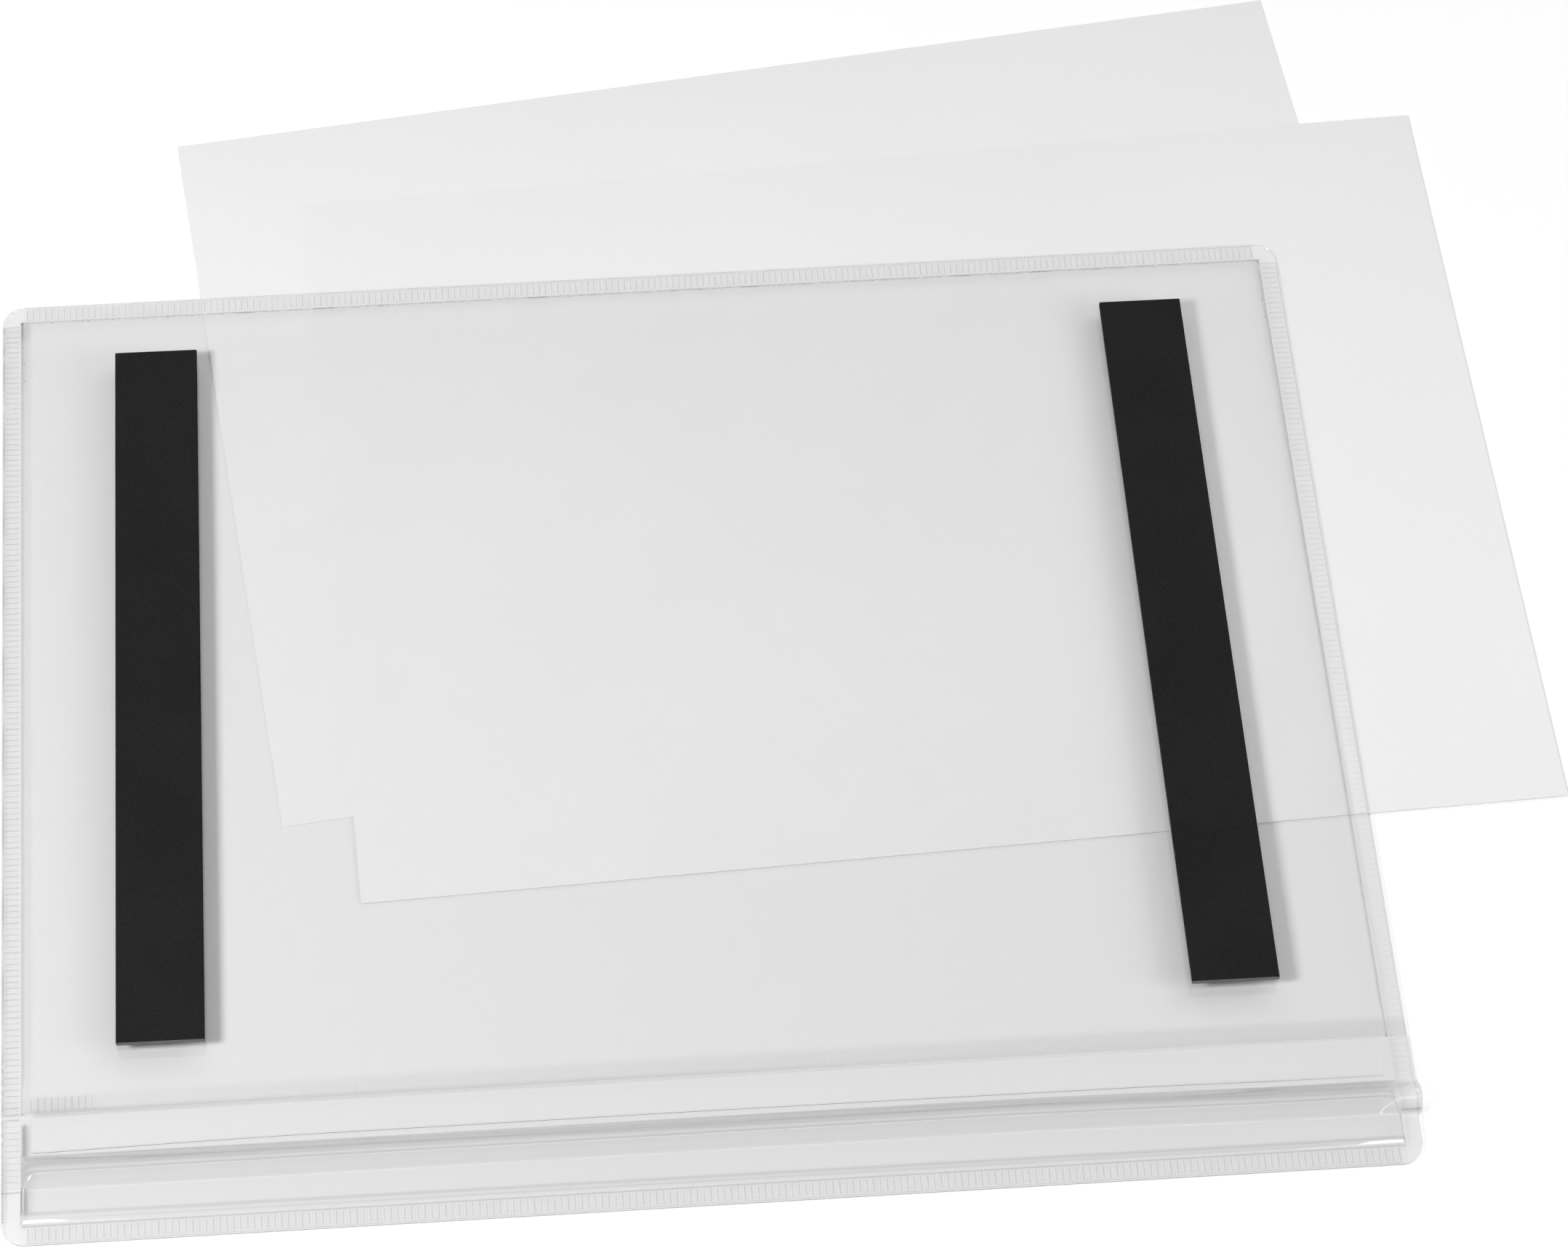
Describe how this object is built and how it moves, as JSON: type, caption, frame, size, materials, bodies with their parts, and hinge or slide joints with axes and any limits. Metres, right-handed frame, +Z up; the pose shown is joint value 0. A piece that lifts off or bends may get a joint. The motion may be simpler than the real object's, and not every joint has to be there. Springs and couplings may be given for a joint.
{
  "type": "magnetic document pocket",
  "caption": "Clear welded film pocket for A4 landscape inserts, with a rain flap over its loading slot and flat black magnet strips on its back, lying on blank sheets.",
  "frame": {"origin": "middle of the base of the bounding box, on the surface that the lower sheet lies on", "axes": "+X along the pocket's long side and the flap, +Y from the flap edge to the top seam, +Z up, towards the pocket's back with its magnet strips"},
  "size_m": [0.3836, 0.3474, 0.0054],
  "materials": {
    "pocket_film": "clear soft vinyl film with ribbed welds",
    "flap_film": "clear soft vinyl film with a curved set",
    "magnet": "matte black flexible magnet",
    "tape": "thin double-sided tape",
    "paper": "blank matte white card"
  },
  "bodies": {
    "root": {"front_film": "pocket_film", "back_film": "pocket_film", "rain_flap": "flap_film", "lower_strip": "flap_film", "magnet_strip_left": "magnet", "magnet_strip_right": "magnet", "adhesive_tape_left": "tape", "adhesive_tape_right": "tape", "insert_sheet_lower": "paper", "insert_sheet_upper": "paper"}
  },
  "joints": []
}
